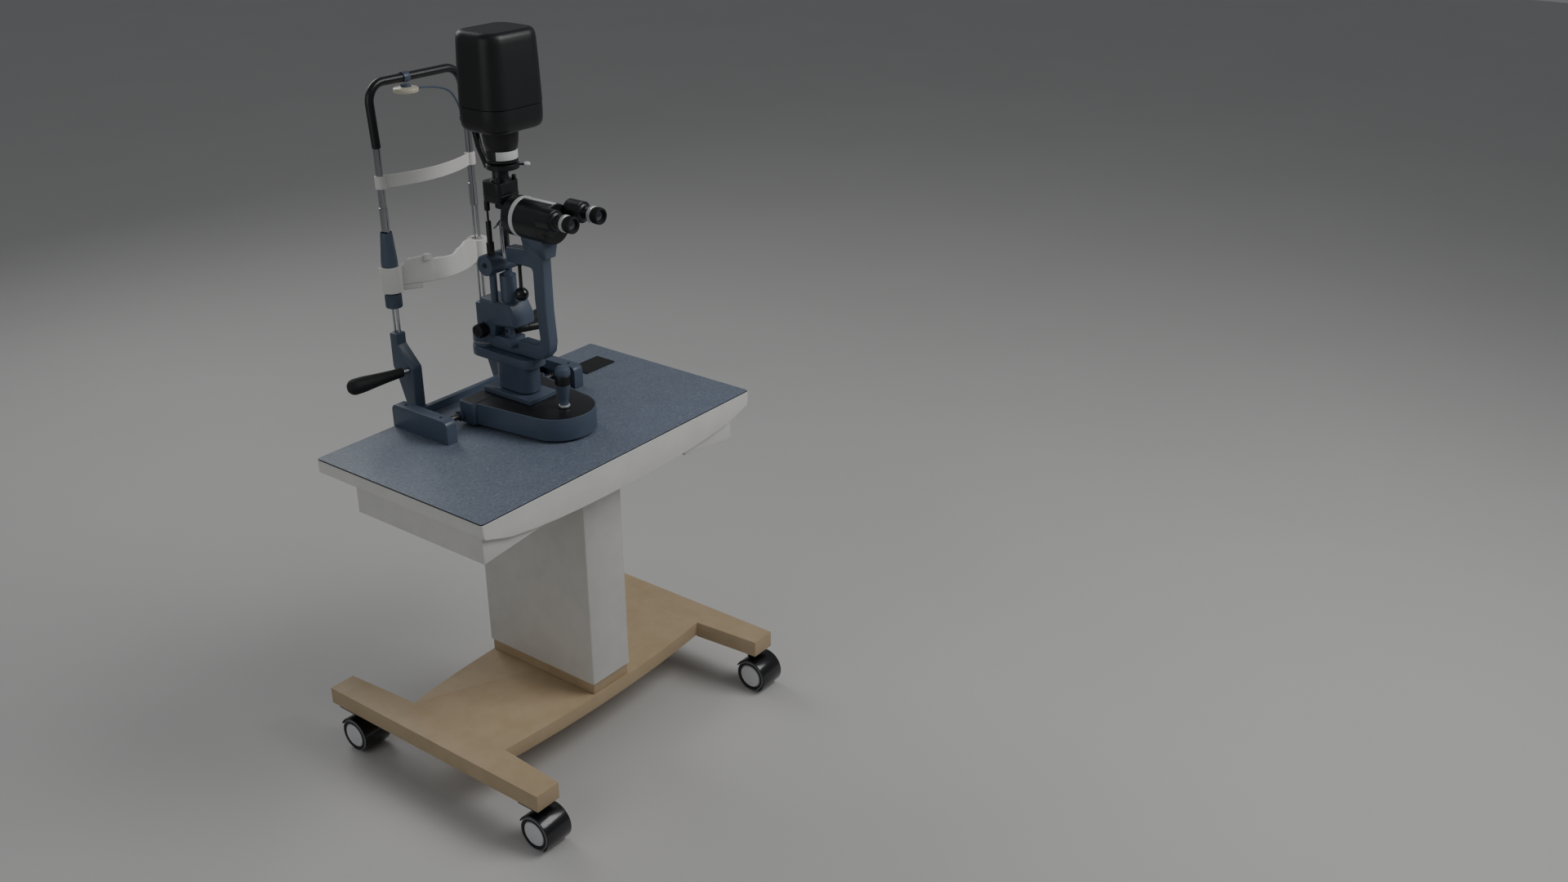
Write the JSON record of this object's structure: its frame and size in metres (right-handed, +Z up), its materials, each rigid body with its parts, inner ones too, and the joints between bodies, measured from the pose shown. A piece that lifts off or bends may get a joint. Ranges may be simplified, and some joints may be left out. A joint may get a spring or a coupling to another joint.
{
  "type": "slit lamp",
  "caption": "Ophthalmic slit lamp on a wheeled lifting table, with a tilting lamp tower, swinging stereo microscope, joystick base and chin rest.",
  "frame": {"origin": "on the floor, at the bottom centre of the whole assembly's box", "axes": "+X to the seated operator's right, +Y from the operator towards the patient, +Z up"},
  "size_m": [0.9, 0.7511, 1.74],
  "materials": {
    "base_enamel": "satin beige enamel on pressed sheet steel",
    "column_paint": "satin white powder coat on an aluminium extrusion",
    "mast_paint": "satin beige enamel on the aluminium inner mast",
    "board_lacquer": "white lacquered board",
    "laminate": "blue-grey laminate with fine mottling",
    "box_plastic": "white matte moulding",
    "pad_rubber": "black rubber pad",
    "hood_plastic": "black moulded castor hood",
    "castor_tyre": "grey polyurethane tread with a white hub",
    "instrument_blue": "blue-grey enamel on cast aluminium",
    "headrest_blue": "blue-grey enamel on cast aluminium",
    "instrument_black": "black satin enamel on aluminium",
    "black_plastic": "black matte moulding",
    "grip_rubber": "black grip rubber",
    "dark_steel": "dark oxidised steel",
    "chrome_rod": "polished chrome tube",
    "eyepiece_silver": "satin silver ring with a black rubber cup",
    "white_plastic": "white moulded plastic",
    "ring_silver": "light grey anodised ring",
    "lens_glass": "coated optical glass",
    "mirror_glass": "front-silvered mirror on a dark stem"
  },
  "bodies": {
    "stand": {"base_frame": "base_enamel", "lift_mast": "mast_paint"},
    "table": {"column_shell": "column_paint", "table_board": "board_lacquer", "table_laminate": "laminate", "control_box_left": "box_plastic", "control_box_right": "box_plastic", "accessory_pad": "pad_rubber", "rail_frame": "instrument_blue", "rail_cover_left": "instrument_blue", "rail_cover_right": "instrument_blue", "wing_left": "headrest_blue", "wing_right": "headrest_blue", "upright_left": "chrome_rod", "upright_right": "chrome_rod", "headrest_bow": "instrument_black", "patient_grip_left": "grip_rubber", "patient_grip_right": "grip_rubber"},
    "axle_carriage": {"guide_tube": "dark_steel"},
    "axle": {"drive_axle": "dark_steel"},
    "instrument_base": {"base_skirt": "instrument_blue", "base_top_plate": "instrument_black", "cross_slide": "instrument_blue"},
    "joystick": {"joystick_lever": "instrument_blue"},
    "joystick_sleeve": {"joystick_sleeve": "black_plastic"},
    "pedestal": {"pedestal": "instrument_blue"},
    "microscope": {"microscope_arm": "instrument_blue", "microscope_body": "instrument_black", "objective_lens": "lens_glass"},
    "coupling_lever": {"coupling_lever": "black_plastic"},
    "magnification_ring": {"magnification_ring": "ring_silver"},
    "prism_left": {"prism_housing_left": "instrument_black"},
    "prism_right": {"prism_housing_right": "instrument_black"},
    "eyepiece_left": {"eyepiece_left": "eyepiece_silver"},
    "eyepiece_right": {"eyepiece_right": "eyepiece_silver"},
    "illumination": {"illumination_arm": "instrument_blue", "tilt_fork": "instrument_blue"},
    "slit_width_knobs": {"slit_width_knobs": "black_plastic"},
    "tilt_latch": {"tilt_latch": "black_plastic"},
    "tower": {"slit_control_rod": "instrument_black", "lamp_column": "dark_steel", "slit_housing": "instrument_black", "mirror": "mirror_glass", "fill_light_arm": "instrument_black"},
    "aperture_ring": {"aperture_ring": "instrument_black"},
    "lamp_house": {"lamp_base": "black_plastic", "lamp_cover": "black_plastic"},
    "chin_rest": {"chin_rest": "white_plastic"},
    "chin_height_sleeve": {"chin_height_sleeve": "headrest_blue"},
    "forehead_band": {"forehead_band": "white_plastic"},
    "fixation_lamp": {"fixation_lamp": "white_plastic"},
    "castor_swivel_front_left": {"castor_hood_front_left": "hood_plastic"},
    "castor_wheel_front_left": {"castor_wheel_front_left": "castor_tyre"},
    "castor_swivel_front_right": {"castor_hood_front_right": "hood_plastic"},
    "castor_wheel_front_right": {"castor_wheel_front_right": "castor_tyre"},
    "castor_swivel_back_left": {"castor_hood_back_left": "hood_plastic"},
    "castor_wheel_back_left": {"castor_wheel_back_left": "castor_tyre"},
    "castor_swivel_back_right": {"castor_hood_back_right": "hood_plastic"},
    "castor_wheel_back_right": {"castor_wheel_back_right": "castor_tyre"}
  },
  "joints": [
    {"name": "castor_swivel_front_left", "type": "hinge", "parent": "stand", "child": "castor_swivel_front_left", "pos_m": [-0.4, -0.3105, 0.11], "axis": [0, 0, 1], "continuous": true},
    {"name": "castor_roll_front_left", "type": "hinge", "parent": "castor_swivel_front_left", "child": "castor_wheel_front_left", "pos_m": [-0.4, -0.3305, 0.043], "axis": [1, 0, 0], "continuous": true},
    {"name": "castor_swivel_front_right", "type": "hinge", "parent": "stand", "child": "castor_swivel_front_right", "pos_m": [0.4, -0.3105, 0.11], "axis": [0, 0, 1], "continuous": true},
    {"name": "castor_roll_front_right", "type": "hinge", "parent": "castor_swivel_front_right", "child": "castor_wheel_front_right", "pos_m": [0.4, -0.3305, 0.043], "axis": [1, 0, 0], "continuous": true},
    {"name": "castor_swivel_back_left", "type": "hinge", "parent": "stand", "child": "castor_swivel_back_left", "pos_m": [-0.4, 0.3195, 0.11], "axis": [0, 0, 1], "continuous": true},
    {"name": "castor_roll_back_left", "type": "hinge", "parent": "castor_swivel_back_left", "child": "castor_wheel_back_left", "pos_m": [-0.4, 0.2995, 0.043], "axis": [1, 0, 0], "continuous": true},
    {"name": "castor_swivel_back_right", "type": "hinge", "parent": "stand", "child": "castor_swivel_back_right", "pos_m": [0.4, 0.3195, 0.11], "axis": [0, 0, 1], "continuous": true},
    {"name": "castor_roll_back_right", "type": "hinge", "parent": "castor_swivel_back_right", "child": "castor_wheel_back_right", "pos_m": [0.4, 0.2995, 0.043], "axis": [1, 0, 0], "continuous": true},
    {"name": "table_lift", "type": "slide", "parent": "stand", "child": "table", "axis": [0, 0, 1], "range_m": [-0.02, 0.18]},
    {"name": "fore_aft_slide", "type": "slide", "parent": "table", "child": "axle_carriage", "axis": [0, 1, 0], "range_m": [-0.045, 0.045]},
    {"name": "axle_roll", "type": "hinge", "parent": "axle_carriage", "child": "axle", "pos_m": [0, 0.1525, 0.8453], "axis": [1, 0, 0], "range_deg": [-188, 188]},
    {"name": "lateral_slide", "type": "slide", "parent": "axle_carriage", "child": "instrument_base", "axis": [1, 0, 0], "range_m": [-0.05, 0.05]},
    {"name": "joystick_tilt", "type": "hinge", "parent": "instrument_base", "child": "joystick", "pos_m": [0, -0.0735, 0.884], "axis": [1, 0, 0], "range_deg": [-8, 8]},
    {"name": "joystick_turn", "type": "hinge", "parent": "joystick", "child": "joystick_sleeve", "pos_m": [0, -0.0735, 0.943], "axis": [0, 0, 1], "range_deg": [-45, 360]},
    {"name": "instrument_height", "type": "slide", "parent": "instrument_base", "child": "pedestal", "axis": [0, 0, 1], "range_m": [-0.003, 0.024]},
    {"name": "microscope_swing", "type": "hinge", "parent": "pedestal", "child": "microscope", "pos_m": [0, 0.1725, 0.998], "axis": [0, 0, 1], "range_deg": [-60, 60]},
    {"name": "coupling_lever_turn", "type": "hinge", "parent": "microscope", "child": "coupling_lever", "pos_m": [0, 0.0425, 1.173], "axis": [0, 0, 1], "range_deg": [-90, 90]},
    {"name": "magnification_turn", "type": "hinge", "parent": "microscope", "child": "magnification_ring", "pos_m": [0, 0.0135, 1.328], "axis": [0, 1, 0], "range_deg": [-144, 144]},
    {"name": "prism_left_turn", "type": "hinge", "parent": "microscope", "child": "prism_left", "pos_m": [-0.026, -0.0975, 1.328], "axis": [0, 1, 0], "range_deg": [-2, 24]},
    {"name": "prism_right_turn", "type": "hinge", "parent": "microscope", "child": "prism_right", "pos_m": [0.026, -0.0975, 1.328], "axis": [0, 1, 0], "range_deg": [-24, 2]},
    {"name": "dioptre_left_turn", "type": "hinge", "parent": "prism_left", "child": "eyepiece_left", "pos_m": [-0.043, -0.1475, 1.353], "axis": [0, 1, 0], "range_deg": [-90, 90]},
    {"name": "dioptre_right_turn", "type": "hinge", "parent": "prism_right", "child": "eyepiece_right", "pos_m": [0.043, -0.1475, 1.353], "axis": [0, 1, 0], "range_deg": [-90, 90]},
    {"name": "illumination_swing", "type": "hinge", "parent": "pedestal", "child": "illumination", "pos_m": [0, 0.1725, 1.013], "axis": [0, 0, 1], "range_deg": [-60, 60]},
    {"name": "slit_width_turn", "type": "hinge", "parent": "illumination", "child": "slit_width_knobs", "pos_m": [0, 0.1385, 1.041], "axis": [1, 0, 0], "range_deg": [0, 180]},
    {"name": "tilt_latch_turn", "type": "hinge", "parent": "illumination", "child": "tilt_latch", "pos_m": [0, 0.0865, 1.0395], "axis": [0.9272, -0.3746, 0], "range_deg": [0, 45]},
    {"name": "tower_tilt", "type": "hinge", "parent": "illumination", "child": "tower", "pos_m": [0, 0.1125, 1.204], "axis": [1, 0, 0], "range_deg": [-20, 0]},
    {"name": "aperture_turn", "type": "hinge", "parent": "tower", "child": "aperture_ring", "pos_m": [0, 0.0725, 1.437], "axis": [0, 0, 1], "range_deg": [-45, 90]},
    {"name": "lamp_turn", "type": "hinge", "parent": "tower", "child": "lamp_house", "pos_m": [0, 0.0725, 1.483], "axis": [0, 0, 1], "range_deg": [-90, 90]},
    {"name": "chin_rest_height", "type": "slide", "parent": "table", "child": "chin_rest", "axis": [0, 0, 1], "range_m": [-0.035, 0.02]},
    {"name": "chin_height_turn", "type": "hinge", "parent": "chin_rest", "child": "chin_height_sleeve", "pos_m": [-0.137, 0.3335, 1.113], "axis": [0, 0, 1], "range_deg": [-630, 360]},
    {"name": "forehead_band_height", "type": "slide", "parent": "table", "child": "forehead_band", "axis": [0, 0, 1], "range_m": [-0.02, 0.02]},
    {"name": "fixation_swing", "type": "hinge", "parent": "table", "child": "fixation_lamp", "pos_m": [0.137, 0.3347, 1.483], "axis": [0, 0, 1], "range_deg": [-15, 30]}
  ],
  "couplings": [
    {"joint": "axle_roll", "follows": "fore_aft_slide", "rad_per_m": -71.429},
    {"joint": "joystick_turn", "follows": "instrument_height", "rad_per_m": 261.77},
    {"joint": "prism_right_turn", "follows": "prism_left_turn", "ratio": -1},
    {"joint": "chin_height_turn", "follows": "chin_rest_height", "rad_per_m": 314.13}
  ]
}
